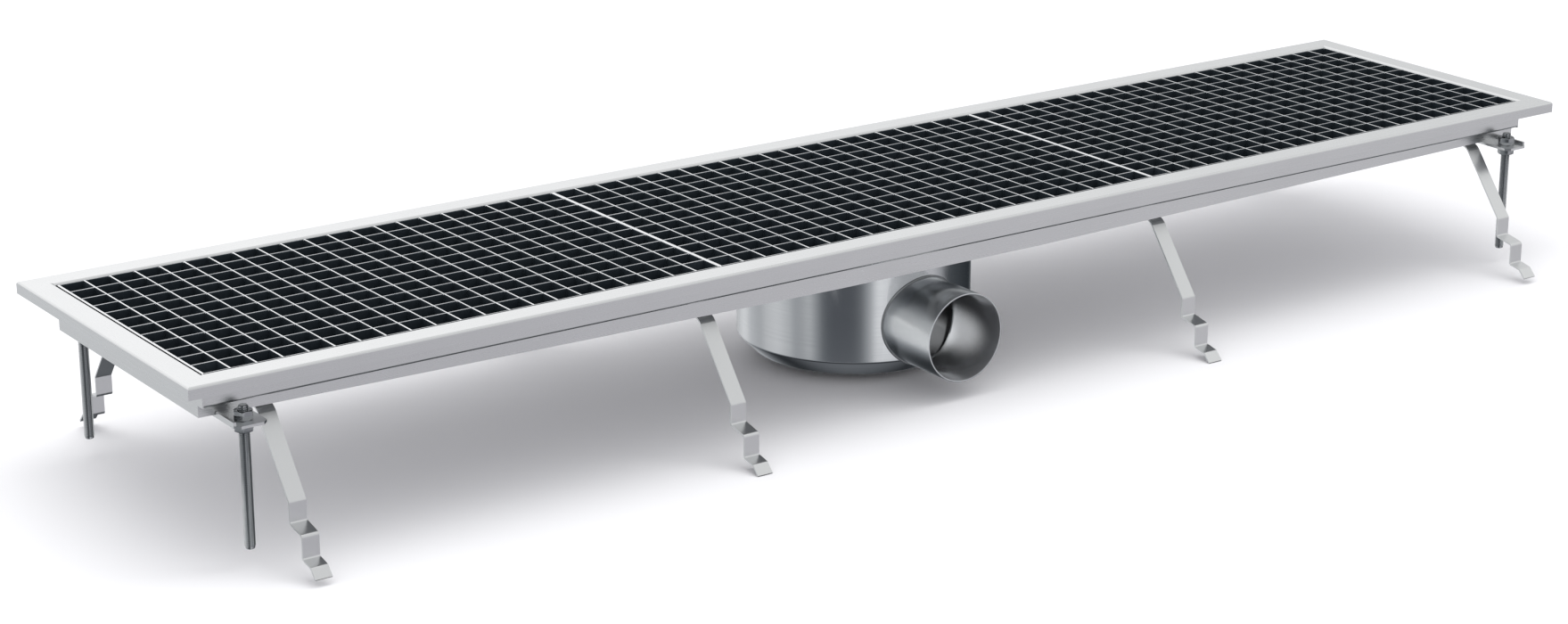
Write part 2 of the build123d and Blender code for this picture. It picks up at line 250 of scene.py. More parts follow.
@dataclass(frozen=True)
class BrightSteel:
    """Electropolished or cold-formed stainless steel: a soft even gloss with faint mottling."""

    name: str
    colour: str = "#d2d4d5"
    mottle: str = "#c2c5c7"
    roughness: tuple[float, float] = (0.22, 0.34)
    grain: float = 3.0 * MM
    matt: float = 0.0  # share of dull, unreflecting surface
    depth: float = 0.02 * MM
    bump: float = 0.1

    def build(self) -> bpy.types.Material:
        """Builds the material from mottling of one size."""
        material, tree = new_material(self.name)
        place = add_node(tree, "ShaderNodeTexCoord")
        spots = add_node(tree, "ShaderNodeTexNoise", {"Scale": 1 / self.grain, "Detail": 3.0},
                         {"Vector": place.outputs["Object"]})
        noise = spots.outputs["Fac"]
        tone = blend(tree, (self.colour, self.mottle), noise)
        shader = add_node(tree, "ShaderNodeBsdfPrincipled", {"Metallic": 1.0 - self.matt},
                          {"Base Color": tone, "Roughness": gloss(tree, noise, self.roughness),
                           "Normal": relief(tree, noise, self.bump, self.depth)})
        add_node(tree, "ShaderNodeOutputMaterial", links={"Surface": shader.outputs["BSDF"]})
        return material


@dataclass(frozen=True)
class OxideScale:
    """Painted shade for the bars' flanks and edges: dull, nearly black.

    A stand-in for the shade between the bars, chosen because the photograph's bars look nearly
    black beside their bright tops. A guess, chosen because the photograph's bars look nearly
    black beside their bright tops.
    """

    name: str
    colour: str = "#1f262b"
    bloom: str = "#293036"
    roughness: float = 0.7
    specular: float = 0.1
    grain: float = 4.0 * MM
    depth: float = 0.05 * MM
    bump: float = 0.2

    def build(self) -> bpy.types.Material:
        """Builds the painted shade from a cloudy mottling over a dull dark base."""
        material, tree = new_material(self.name)
        place = add_node(tree, "ShaderNodeTexCoord")
        cloud = add_node(tree, "ShaderNodeTexNoise", {"Scale": 1 / self.grain, "Detail": 2.0},
                         {"Vector": place.outputs["Object"]})
        noise = cloud.outputs["Fac"]
        shader = add_node(tree, "ShaderNodeBsdfPrincipled",
                          {"Roughness": self.roughness, "Specular IOR Level": self.specular},
                          {"Base Color": blend(tree, (self.colour, self.bloom), noise),
                           "Normal": relief(tree, noise, self.bump, self.depth)})
        add_node(tree, "ShaderNodeOutputMaterial", links={"Surface": shader.outputs["BSDF"]})
        return material


@dataclass(frozen=True)
class MouldedRubber:
    """Compression-moulded black rubber: dull, with a faint dusty bloom."""

    name: str
    colour: str = "#1c1d1e"
    bloom: str = "#2b2c2e"
    roughness: float = 0.65
    grain: float = 16.67 * MM
    depth: float = 0.1 * MM
    bump: float = 0.3

    def build(self) -> bpy.types.Material:
        """Builds the material from a fine grain and a cloudy bloom."""
        material, tree = new_material(self.name)
        place = add_node(tree, "ShaderNodeTexCoord")
        bloom = add_node(tree, "ShaderNodeTexNoise", {"Scale": 1 / self.grain, "Detail": 4.0},
                         {"Vector": place.outputs["Object"]})
        noise = bloom.outputs["Fac"]
        shader = add_node(tree, "ShaderNodeBsdfPrincipled", {"Roughness": self.roughness},
                          {"Base Color": blend(tree, (self.colour, self.bloom), noise),
                           "Normal": relief(tree, noise, self.bump, self.depth)})
        add_node(tree, "ShaderNodeOutputMaterial", links={"Surface": shader.outputs["BSDF"]})
        return material


def deselect_all() -> None:
    """Leaves nothing selected and nothing active."""
    bpy.ops.object.select_all(action="DESELECT")
    bpy.context.view_layer.objects.active = None


def select_only(piece: bpy.types.Object) -> None:
    """Leaves one piece selected and active.

    Args:
        piece: The object to select.
    """
    deselect_all()
    piece.select_set(True)
    bpy.context.view_layer.objects.active = piece


@contextmanager
def editing(piece: bpy.types.Object) -> Iterator[None]:
    """Holds a piece in edit mode with all of it selected.

    Args:
        piece: The object to edit.
    """
    select_only(piece)
    bpy.ops.object.mode_set(mode="EDIT")
    bpy.ops.mesh.select_all(action="SELECT")
    try:
        yield
    finally:
        bpy.ops.object.mode_set(mode="OBJECT")


def pick_vertices(piece: bpy.types.Object, test: Callable[[Vector], bool]) -> None:
    """Selects only the vertices whose place passes a test, in edit mode.

    Args:
        piece: The object in edit mode.
        test: True for the place of a vertex to select.
    """
    bpy.ops.mesh.select_mode(type="VERT")
    bpy.ops.mesh.select_all(action="DESELECT")
    mesh = bmesh.from_edit_mesh(piece.data)
    for vertex in mesh.verts:
        vertex.select_set(test(vertex.co))
    mesh.select_flush_mode()
    bmesh.update_edit_mesh(piece.data)


def pick_faces(piece: bpy.types.Object, test: Callable[[Vector, Vector], bool]) -> None:
    """Selects only the faces whose centre and normal pass a test, in edit mode.

    Args:
        piece: The object in edit mode.
        test: True for the centre and normal of a face to select.
    """
    bpy.ops.mesh.select_mode(type="FACE")
    bpy.ops.mesh.select_all(action="DESELECT")
    mesh = bmesh.from_edit_mesh(piece.data)
    for face in mesh.faces:
        face.select_set(test(face.calc_center_median(), face.normal))
    mesh.select_flush_mode()
    bmesh.update_edit_mesh(piece.data)


def started(name: str) -> bpy.types.Object:
    """Names the primitive that was just added and returns it.

    Args:
        name: Name of the piece.

    Returns:
        The active object.
    """
    piece = bpy.context.view_layer.objects.active
    piece.name = name
    piece.data.name = name
    return piece


def settle(piece: bpy.types.Object) -> None:
    """Puts a piece's place into its mesh and leaves its origin at the world's.

    Args:
        piece: The object to settle.
    """
    select_only(piece)
    bpy.ops.object.transform_apply(location=True, rotation=True, scale=True)


def apply_modifier(piece: bpy.types.Object, kind: str, **settings: object) -> None:
    """Adds a modifier with its settings and applies it.

    Args:
        piece: The object to change.
        kind: Modifier type, such as BEVEL.
        settings: Properties of the modifier.
    """
    select_only(piece)
    modifier = piece.modifiers.new(kind.title(), kind)
    for name, value in settings.items():
        setattr(modifier, name, value)
    bpy.ops.object.modifier_apply(modifier=modifier.name)


def cut(piece: bpy.types.Object, tool: bpy.types.Object, operation: str = "DIFFERENCE") -> None:
    """Cuts a piece with a tool, which is then deleted.

    Args:
        piece: The object to cut.
        tool: The object to cut with.
        operation: DIFFERENCE or INTERSECT.
    """
    apply_modifier(piece, "BOOLEAN", object=tool, operation=operation, solver="EXACT")
    bpy.data.objects.remove(tool, do_unlink=True)


def smooth(piece: bpy.types.Object, degrees: float = 35.0) -> None:
    """Shades a piece smooth up to an angle between faces.

    Args:
        piece: The object to shade.
        degrees: Edges sharper than this stay crisp.
    """
    select_only(piece)
    bpy.ops.object.shade_smooth_by_angle(angle=math.radians(degrees))


def copy_to(piece: bpy.types.Object, offset: Vector, name: str) -> bpy.types.Object:
    """Copies a piece, with a mesh of its own, to another place.

    Args:
        piece: The object to copy.
        offset: How far the copy is moved.
        name: Name of the copy.

    Returns:
        The copy, with its place in its mesh.
    """
    twin = piece.copy()
    twin.data = piece.data.copy()
    twin.name = name
    bpy.context.scene.collection.objects.link(twin)
    twin.location = offset
    settle(twin)
    return twin


def join(pieces: list[bpy.types.Object], name: str) -> bpy.types.Object:
    """Joins pieces into one object.

    Args:
        pieces: The objects to join.
        name: Name of the result.

    Returns:
        The joined object.
    """
    deselect_all()
    for piece in pieces:
        piece.select_set(True)
    bpy.context.view_layer.objects.active = pieces[0]
    bpy.ops.object.join()
    return started(name)


def dress(piece: bpy.types.Object, material: bpy.types.Material) -> None:
    """Gives a whole piece one material.

    Args:
        piece: The object to dress.
        material: Its only material.
    """
    if piece.material_slots:
        for slot in piece.material_slots:
            slot.material = material
    else:
        piece.data.materials.append(material)


def paint(piece: bpy.types.Object, material: bpy.types.Material,
          test: Callable[[Vector, Vector], bool]) -> None:
    """Gives the faces of a dressed piece that pass a test a finish of their own.

    Args:
        piece: The dressed object.
        material: Finish of those faces.
        test: True for the centre and normal of such a face.
    """
    piece.data.materials.append(material)
    with editing(piece):
        pick_faces(piece, test)
        piece.active_material_index = len(piece.data.materials) - 1
        bpy.ops.object.material_slot_assign()


def aimed(name: str, data: bpy.types.ID, place: tuple[float, float, float],
          target: tuple[float, float, float]) -> bpy.types.Object:
    """Puts a lamp into the scene and turns it to its target.

    Args:
        name: Name of its object.
        data: The lamp's data.
        place: Where it stands.
        target: What it points at.

    Returns:
        The object that holds it.
    """
    holder = bpy.data.objects.new(name, data)
    bpy.context.scene.collection.objects.link(holder)
    holder.location = place
    holder.rotation_euler = (Vector(target) - Vector(place)).to_track_quat("-Z", "Y").to_euler()
    return holder


def fit(piece: bpy.types.Object, material: bpy.types.Material,
        nodes: tuple[str, ...] = (), body: str = BODY) -> None:
    """Dresses a finished piece and ties it to the frame.

    Args:
        piece: The finished object.
        material: Its material.
        nodes: CAD nodes that it stands for.
        body: The body that it rides on.
    """
    dress(piece, material)
    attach(piece, body)
    if nodes:
        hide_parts(*nodes)
    LOG.info("%s: %d faces on %s", piece.name, len(piece.data.polygons), body)


@dataclass
class MeshGratings:
    """The three welded gratings, with every bar of the mesh.

    Painted shade on the flanks and edges keeps the lines of the bars thin and crisp in a small
    render; the lengthways bars' tops are painted dimmer.
    """

    nodes: tuple[str, ...] = ("grating_left", "grating_centre", "grating_right")
    columns: int = 21
    rows: int = 12
    bar: float = 3.0 * MM
    edge: float = 0.7 * MM
    bright_edge: float = 0.77 * MM  # reach from the two short sides within which the bevels stay bright, without painted shade
    crossing: float = 0.25  # reach of a lengthways bar's dimmer painted top to either side, in pitches

    def build(self, polished: bpy.types.Material, cross: bpy.types.Material,
              flank: bpy.types.Material) -> None:
        """Models each panel; tops get a bright finish, cross bars a dimmer painted copy of it, and
        flanks with their edges painted shade.

        Args:
            polished: Material of the tops of the bars that run across the channel.
            cross: Material of the tops of the bars that run along it: the same steel painted
                dimmer, standing in for their dimmer reflection.
            flank: Painted shade for the bars' flanks and inner edges.
        """
        for node in self.nodes:
            low, high = (Vector(corner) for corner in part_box(node))
            panel = self.panel(node + "_mesh", low, high)
            fit(panel, polished, (node,))
            # Painted reflection: the lengthways bars' tops get a dimmer copy of the bright finish.
            paint(panel, cross, lambda c, n: n.z > FACING
                  and self.off_row(c.y - low.y, high.y - low.y) < self.crossing)
            # Painted shade: the flanks and the inner bevels get the near-black finish.
            paint(panel, flank, lambda c, n: n.z < LEANING
                  or (n.z < FACING and low.x + self.bright_edge < c.x < high.x - self.bright_edge))

    def off_row(self, place: float, width: float) -> float:
        """Measures how far a place is from the nearest lengthways bar.

        Args:
            place: Distance of the place from the panel's near side.
            width: Width of the panel.

        Returns:
            The distance in pitches, 0.5 at most.
        """
        steps = (place - self.bar / 2) / ((width - self.bar) / self.rows)
        return abs(steps - round(steps))

    def panel(self, name: str, low: Vector, high: Vector) -> bpy.types.Object:
        """Models one panel from a flat grid, its cells opened and its bars drawn down.

        Args:
            name: Name of the piece.
            low: Lowest corner of its box.
            high: Highest corner of its box.

        Returns:
            The finished panel.
        """
        size = high - low
        deselect_all()
        bpy.ops.mesh.primitive_grid_add(x_subdivisions=self.columns, y_subdivisions=self.rows,
                                        size=1.0)
        panel = started(name)
        inner = (size.x - self.bar, size.y - self.bar)
        with editing(panel):
            bpy.ops.transform.resize(value=(*inner, 1.0))
            bpy.ops.mesh.select_mode(type="FACE")
            bpy.ops.mesh.select_all(action="SELECT")
            bpy.ops.mesh.inset(thickness=self.bar / 2, use_individual=True,
                               use_even_offset=True)
            bpy.ops.mesh.delete(type="FACE")
            for axis in (0, 1):
                for side in (-1, 1):
                    reach = inner[axis] / 2 - self.bar / 8
                    pick_vertices(panel, lambda v: side * v[axis] > reach)
                    shift = [0.0, 0.0, 0.0]
                    shift[axis] = side * self.bar / 2
                    bpy.ops.transform.translate(value=shift)
            bpy.ops.mesh.select_all(action="SELECT")
            bpy.ops.mesh.extrude_region_move(
                TRANSFORM_OT_translate={"value": (0.0, 0.0, -size.z)})
            bpy.ops.mesh.select_all(action="SELECT")
            bpy.ops.transform.translate(value=((low.x + high.x) / 2, (low.y + high.y) / 2,
                                               high.z))
            bpy.ops.mesh.normals_make_consistent(inside=False)
        apply_modifier(panel, "BEVEL", width=self.edge, segments=1, limit_method="ANGLE",
                       angle_limit=math.radians(60))
        smooth(panel)
        return panel


@dataclass
class LevellingSet:
    """The four threaded rods and their eight nuts."""

    rod_radius: float = 6.0 * MM
    root_radius: float = 5.1 * MM
    pitch: float = 1.75 * MM
    ridge_half: float = 0.46  # half of the ridge's foot, in pitches
    tuck: float = 0.1 * MM  # how far the ridge's foot sinks into the core
    crest_play: float = 0.02 * MM
    rod_chamfer: float = 0.7 * MM
    plain_end: float = 1.0 * MM
    steps: int = 24
    across_flats: float = 19.0 * MM
    nut_height: float = 10.0 * MM
    nut_bore: float = 6.05 * MM
    nut_chamfer: float = 0.8 * MM
    nut_edge: float = 0.2 * MM
    barrel_play: float = 0.05 * MM
    face_inset: float = 0.1 * MM

    def build(self, rod_finish: bpy.types.Material, nut_finish: bpy.types.Material) -> None:
        """Models the rods and both groups of nuts.

        Args:
            rod_finish: Material of the rods.
            nut_finish: Material of the nuts.
        """
        for corner in CORNERS:
            node = "levelling_rod_" + corner
            low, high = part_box(node)
            fit(self.rod(node + "_thread", Vector(low), Vector(high)), rod_finish,
                (node,), "rod_" + corner)
        for node in ("upper_nuts", "lower_nuts"):
            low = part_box(node)[0]
            nut = self.nut("nut")
            places = []
            for corner in CORNERS:
                rod_low, rod_high = (Vector(c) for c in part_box("levelling_rod_" + corner))
                middle = (rod_low + rod_high) / 2
                places.append(Vector((middle.x, middle.y, low[2])))
            copies = [copy_to(nut, place, f"{node}_{n}") for n, place in enumerate(places)]
            bpy.data.objects.remove(nut, do_unlink=True)
            fit(join(copies, node + "_chamfered"), nut_finish, (node,))

    def rod(self, name: str, low: Vector, high: Vector) -> bpy.types.Object:
        """Models one rod: a chamfered core and a thread ridge wound round it.

        Args:
            name: Name of the piece.
            low: Lowest corner of its box.
            high: Highest corner of its box.

        Returns:
            The finished rod.
        """
        middle, length = (low + high) / 2, high.z - low.z
        deselect_all()
        bpy.ops.mesh.primitive_cylinder_add(vertices=self.steps, radius=self.root_radius,
                                            depth=length)
        core = started(name + "_core")
        with editing(core):
            pick_faces(core, lambda c, n: abs(n.z) > FACING)
            bpy.ops.mesh.inset(thickness=self.rod_chamfer)
            rim = self.root_radius - self.rod_chamfer / 2
            pick_vertices(core, lambda v: math.hypot(v.x, v.y) > rim)
            bpy.ops.transform.resize(value=(1.0, 1.0, 1 - 2 * self.rod_chamfer / length))
        deselect_all()
        bpy.ops.mesh.primitive_circle_add(vertices=3, radius=self.pitch / 2)
        ridge = started(name)
        base, crest = self.root_radius - self.tuck, self.rod_radius - self.crest_play
        half = self.ridge_half * self.pitch
        turns = math.floor((length - 2 * self.plain_end) / self.pitch) - 1
        with editing(ridge):
            mesh = bmesh.from_edit_mesh(ridge.data)
            corners = ((base, -half), (base, half), (crest, 0.0))
            for vertex, (radius, height) in zip(mesh.verts, corners):
                vertex.co = (radius, 0.0, height - turns * self.pitch / 2)
            bmesh.update_edit_mesh(ridge.data)
        apply_modifier(ridge, "SCREW", angle=math.tau, screw_offset=self.pitch,
                       iterations=turns, steps=self.steps, render_steps=self.steps,
                       use_normal_calculate=True)
        smooth(core)
        smooth(ridge, 25)
        rod = join([ridge, core], name)
        rod.location = middle
        settle(rod)
        return rod

    def nut(self, name: str) -> bpy.types.Object:
        """Models one nut, standing on the origin, with its corners turned off at both ends.

        Args:
            name: Name of the piece.

        Returns:
            The finished nut.
        """
        corner = self.across_flats / math.sqrt(3)
        barrel_height = self.nut_height - 2 * self.nut_chamfer
        deselect_all()
        bpy.ops.mesh.primitive_cylinder_add(vertices=6, radius=corner, depth=self.nut_height,
                                            location=(0, 0, self.nut_height / 2),
                                            rotation=(0, 0, math.radians(30)))
        nut = started(name)
        barrel_radius = corner + self.barrel_play
        bpy.ops.mesh.primitive_cylinder_add(vertices=96, radius=barrel_radius,
                                            depth=barrel_height,
                                            location=(0, 0, self.nut_height / 2))
        barrel = started("nut_barrel")
        shrink = (self.across_flats / 2 - self.face_inset) / barrel_radius
        with editing(barrel):
            for side in (-1, 1):
                pick_faces(barrel, lambda c, n: n.z * side > FACING)
                bpy.ops.mesh.extrude_region_move(
                    TRANSFORM_OT_translate={"value": (0.0, 0.0, side * self.nut_chamfer)})
                bpy.ops.transform.resize(value=(shrink, shrink, 1.0))
        settle(nut)
        settle(barrel)
        cut(nut, barrel, "INTERSECT")
        bpy.ops.mesh.primitive_cylinder_add(vertices=48, radius=self.nut_bore,
                                            depth=self.nut_height + OVERSHOOT,
                                            location=(0, 0, self.nut_height / 2))
        bore = started("nut_bore")
        settle(bore)
        cut(nut, bore)
        apply_modifier(nut, "BEVEL", width=self.nut_edge, segments=2, limit_method="ANGLE",
                       angle_limit=math.radians(28))
        smooth(nut)
        return nut


@dataclass
class Gully:
    """The pot, its outlet and the weld beads that hold them."""

    wall: float = 2.0 * MM
    bevel: float = 20.0 * MM
    fold: float = 2.5 * MM
    segments: int = 192
    bead: float = 1.3 * MM
    saddle_rise: float = 0.52 * MM  # how far this bead's middle lies outside the spigot
    collar_rise: float = 0.39 * MM  # how far this bead's middle lies outside the pot
    collar_drop: float = 0.91 * MM
    spigot_wall: float = 2.0 * MM
    mouth_edge: float = 0.5 * MM
    tool_reach: float = 45 * MM  # how far the outlet's tools reach into the pot
    base_tilt: float = 0.3  # cosine above which a face of the base looks up

    def __post_init__(self) -> None:
        """Reads the places of the pot and the spigot from the frame."""
        self.low, self.high = (Vector(c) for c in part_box("gully_pot"))
        low, high = (Vector(c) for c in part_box("outlet_spigot"))
        self.radius = (self.high.x - self.low.x) / 2
        self.spigot_radius = (high.x - low.x) / 2
        self.spigot_level = (low.z + high.z) / 2
        self.mouth = low.y

    def build(self, turned: bpy.types.Material, tube: bpy.types.Material,
              pickled: bpy.types.Material, weld: bpy.types.Material) -> None:
        """Models the pot, the spigot and their beads.

        Args:
            turned: Material of the pot's outside.
            tube: Material of the spigot's outside.
            pickled: Material of their insides.
            weld: Material of the beads.
        """
        pot, spigot = self.pot(), self.spigot()
        fit(pot, turned, ("gully_pot",))
        paint(pot, pickled, lambda c, n: n.x * c.x + n.y * c.y < -LEANING * math.hypot(c.x, c.y)
              or (n.z > self.base_tilt and c.z < self.low.z + 2 * self.bevel))
        fit(spigot, tube, ("outlet_spigot",))
        paint(spigot, pickled, lambda c, n: n.x * c.x + n.z * (c.z - self.spigot_level)
              < -LEANING * math.hypot(c.x, c.z - self.spigot_level))
        fit(self.saddle_bead(), weld)
        fit(self.collar_bead(), weld)

    def drum(self, name: str, radius: float, low: float, high: float) -> bpy.types.Object:
        """Adds an upright cylinder on the gully's axis.

        Args:
            name: Name of the piece.
            radius: Its radius.
            low: Its lower level.
            high: Its upper level.

        Returns:
            The cylinder.
        """
        deselect_all()
        bpy.ops.mesh.primitive_cylinder_add(vertices=self.segments, radius=radius,
                                            depth=high - low, location=(0, 0, (low + high) / 2))
        drum = started(name)
        settle(drum)
        return drum

    def lying(self, name: str, radius: float, near: float, far: float) -> bpy.types.Object:
        """Adds a cylinder on the outlet's axis.

        Args:
            name: Name of the piece.
            radius: Its radius.
            near: Y of its end at the mouth.
            far: Y of its end in the pot.

        Returns:
            The cylinder.
        """
        deselect_all()
        bpy.ops.mesh.primitive_cylinder_add(
            vertices=128, radius=radius, depth=far - near,
            location=(0, (near + far) / 2, self.spigot_level), rotation=(math.pi / 2, 0, 0))
        lying = started(name)
        settle(lying)
        return lying

    def pot(self) -> bpy.types.Object:
        """Models the pot: a drum, its base bevelled, hollowed, and opened for the outlet."""
        pot = self.drum("gully_pot_spun", self.radius, self.low.z, self.high.z)
        with editing(pot):
            pick_faces(pot, lambda c, n: n.z > FACING)
            bpy.ops.mesh.delete(type="ONLY_FACE")
            pick_faces(pot, lambda c, n: n.z < -FACING)
            bpy.ops.mesh.bevel(offset=self.bevel, segments=1, affect="EDGES")
        apply_modifier(pot, "BEVEL", width=self.fold, segments=4, limit_method="ANGLE",
                       angle_limit=math.radians(30))
        apply_modifier(pot, "SOLIDIFY", thickness=self.wall, offset=-1.0, use_even_offset=True)
        cut(pot, self.lying("outlet_hole", self.spigot_radius - self.spigot_wall,
                            -self.radius - OVERSHOOT, -self.radius + self.tool_reach))
        smooth(pot)
        return pot

    def spigot(self) -> bpy.types.Object:
        """Models the spigot: a tube with a rounded mouth, trimmed to the pot's wall."""
        spigot = self.lying("outlet_spigot_tube", self.spigot_radius, self.mouth,
                            -self.radius + self.tool_reach)
        cut(spigot, self.lying("outlet_bore", self.spigot_radius - self.spigot_wall,
                               self.mouth - OVERSHOOT, 0.0))
        apply_modifier(spigot, "BEVEL", width=self.mouth_edge, segments=2,
                       limit_method="ANGLE", angle_limit=math.radians(60))
        cut(spigot, self.drum("pot_wall", self.radius - self.wall / 2,
                              self.low.z - OVERSHOOT, self.high.z + OVERSHOOT))
        smooth(spigot)
        return spigot

    def saddle_bead(self) -> bpy.types.Object:
        """Models the bead round the spigot, bent to follow the pot's round wall."""
        deselect_all()
        bpy.ops.mesh.primitive_torus_add(
            major_radius=self.spigot_radius + self.saddle_rise, minor_radius=self.bead,
            major_segments=160, minor_segments=10,
            location=(0, 0, self.spigot_level), rotation=(math.pi / 2, 0, 0))
        bead = started("outlet_weld")
        settle(bead)
        with editing(bead):
            mesh = bmesh.from_edit_mesh(bead.data)
            for vertex in mesh.verts:
                vertex.co.y -= math.sqrt(self.radius ** 2 - vertex.co.x ** 2)
            bmesh.update_edit_mesh(bead.data)
        smooth(bead, 60)
        return bead

    def collar_bead(self) -> bpy.types.Object:
        """Models the bead between the pot and the channel's underside."""
        deselect_all()
        bpy.ops.mesh.primitive_torus_add(
            major_radius=self.radius + self.collar_rise, minor_radius=self.bead,
            major_segments=200, minor_segments=10,
            location=(0, 0, self.high.z - self.collar_drop))
        bead = started("collar_weld")
        settle(bead)
        smooth(bead, 60)
        return bead


@dataclass(frozen=True)
class Snoot:
    """A narrow lamp with a soft edge that points at one spot."""

    name: str
    place: tuple[float, float, float]
    target: tuple[float, float, float]
    degrees: float
    power: float
    size: float = 8.0 * MM

    def build(self) -> None:
        """Sets the lamp up and hides it from the camera."""
        lamp = bpy.data.lights.new(self.name, "SPOT")
        lamp.spot_size = math.radians(self.degrees)
        lamp.spot_blend = 1.0
        lamp.shadow_soft_size = self.size
        lamp.energy = self.power
        aimed(self.name, lamp, self.place, self.target).visible_camera = False


@dataclass(frozen=True)
class Softbox:
    """A rectangular area lamp that metal doesn't mirror."""

    name: str
    place: tuple[float, float, float]
    target: tuple[float, float, float]
    size: tuple[float, float]
    power: float

    def build(self) -> None:
        """Hangs the lamp."""
        lamp = bpy.data.lights.new(self.name, "AREA")
        lamp.shape = "RECTANGLE"
        lamp.size, lamp.size_y = self.size
        lamp.energy = self.power
        aimed(self.name, lamp, self.place, self.target).visible_glossy = False


@dataclass
class Studio:
    """Pale floor, soft surroundings, the lamps and the camera.

    Metal shows what stands round it, so the surroundings are bright screens with dark gaps
    between them, each named by its compass angle from +X and its tone. Above them hangs the
    overhead cloth, and below them it is dark. Heights are those of a direction, from -1
    straight down to 1 straight up. Most of the screens' tones began as the pot's brightness
    in the photograph, divided by the steel's reflectance and rounded, and were then changed.
    The two snoots only light the inside of the outlet.
    """

    camera_place: tuple[float, float, float] = (-2.36331, -3.21059, 1.36045)
    azimuth: float = 35.1177
    elevation: float = 18.1956
    lens: float = 77.4422
    floor_size: float = 40.0
    level: float = 1.25
    screens: tuple[tuple[float, str], ...] = (
        (-180, "#a9abad"), (-170, "#c4c6c7"), (-163, "#96999c"), (-156, "#606468"),
        (-148, "#54575c"), (-127, "#54575c"), (-119, "#65686c"), (-111, "#a0a3a6"),
        (-102, "#f4f4f5"), (-88, "#e4e5e7"), (-67, "#acabb0"), (-43, "#c8c7ca"),
        (-33, "#a9aaad"), (-22, "#45494d"), (30, "#2b2f33"), (50, "#85888b"),
        (70, "#b7b9bb"), (98, "#e2e3e4"), (114, "#c1c3c5"), (127, "#b4b6b8"),
        (140, "#cfd0d1"), (152, "#d9dadb"), (166, "#c6c8c9"), (174, "#a2a5a8"),
        (180, "#a9abad"))
    overhead: tuple[tuple[float, str], ...] = (
        (-180, "#e5e6e5"), (-90, "#cccccd"), (-50, "#cdcece"), (-25, "#e0e1e0"),
        (0, "#dbdbdb"), (38, "#d1d2d2"), (70, "#fbfbfb"), (110, "#eeeeee"), (180, "#e5e6e5"))
    below: tuple[tuple[float, str], ...] = ((-1.0, "#6d7074"), (-0.78, "#282b2e"),
                                            (-0.5, "#8a8d91"))
    rise: tuple[float, float] = (-0.05, 0.18)  # heights where screens turn into cloth
    sink: tuple[float, float] = (-0.4, -0.58)  # heights where screens turn into the dark
    fill: float = 1.12  # strength of the even dome on matt surfaces
    rebound: float = 0.12  # its strength for mirrors seen by way of a matt surface
    return_tone: str = "#a6a5aa"  # the floor for every ray but the camera's
    floor_tone: str = "#fbfbfc"  # the floor for the camera
    sky_tone: str = "#fafafc"
    sensor: float = 36.0
    lamps: tuple[Softbox | Snoot, ...] = (
        Softbox("softbox_top", (-0.1, -0.2, 3.0), (0, 0, 0), (5.0, 1.2), 32.0),
        Snoot("snoot_bore", (-0.75, -1.65, 0.3), (0.05, -0.143, 0.059), 2.0, 800.0),
        Snoot("snoot_pot", (-0.95, -1.53, 0.628), (0.14, 0.02, -0.012), 1.5, 750.0))

    def build(self) -> None:
        """Builds the floor, the surroundings, the lamps and the camera."""
        self.floor()
        self.world()
        for lamp in self.lamps:
            lamp.build()
        self.camera()
        bpy.context.scene.view_settings.view_transform = "Standard"

    def first_mirror(self, tree: bpy.types.NodeTree) -> bpy.types.NodeSocket:
        """Adds the share of rays that metal sends out before any matt surface is met.

        Args:
            tree: Node tree to add to.

        Returns:
            Socket that is 1 for such a ray and 0 for any other.
        """
        path = add_node(tree, "ShaderNodeLightPath")
        early = add_node(tree, "ShaderNodeMath", {1: 0.5}, {0: path.outputs["Diffuse Depth"]},
                         operation="LESS_THAN")
        return add_node(tree, "ShaderNodeMath", links={0: path.outputs["Is Glossy Ray"],
                                                       1: early.outputs[0]},
                        operation="MULTIPLY").outputs[0]

    def floor(self) -> None:
        """Lays a matt floor that is white to the camera, takes the object's shadow, throws
        little light back up, and lets metal see the surroundings."""
        deselect_all()
        bpy.ops.mesh.primitive_plane_add(size=self.floor_size)
        floor = started("studio_floor")
        material, tree = new_material("painted studio floor")
        path = add_node(tree, "ShaderNodeLightPath")
        tone = blend(tree, (self.return_tone, self.floor_tone), path.outputs["Is Camera Ray"])
        matt = add_node(tree, "ShaderNodeBsdfDiffuse", links={"Color": tone})
        clear = add_node(tree, "ShaderNodeBsdfTransparent", {"Color": linear(WHITE)})
        shown = add_node(tree, "ShaderNodeMixShader",
                         links={0: self.first_mirror(tree), 1: matt.outputs[0],
                                2: clear.outputs[0]})
        add_node(tree, "ShaderNodeOutputMaterial", links={"Surface": shown.outputs[0]})
        floor.data.materials.append(material)

    def tones(self, tree: bpy.types.NodeTree, reading: bpy.types.NodeSocket,
              tones: tuple[tuple[float, str], ...]) -> bpy.types.NodeSocket:
        """Adds a ramp of tones along a reading.

        Args:
            tree: Node tree to add to.
            reading: Socket of the reading.
            tones: Reading and tone, in order, from low to high.

        Returns:
            The ramp's colour socket.
        """
        low, high = tones[0][0], tones[-1][0]
        scale = add_node(tree, "ShaderNodeMapRange", {"From Min": low, "From Max": high},
                         {"Value": reading})
        ramp = add_node(tree, "ShaderNodeValToRGB", links={"Fac": scale.outputs["Result"]})
        ramp.color_ramp.interpolation = "EASE"
        for place, tone in tones[1:-1]:
            step = ramp.color_ramp.elements.new((place - low) / (high - low))
            step.color = linear(tone)
        ramp.color_ramp.elements[0].color = linear(tones[0][1])
        ramp.color_ramp.elements[-1].color = linear(tones[-1][1])
        return ramp.outputs["Color"]

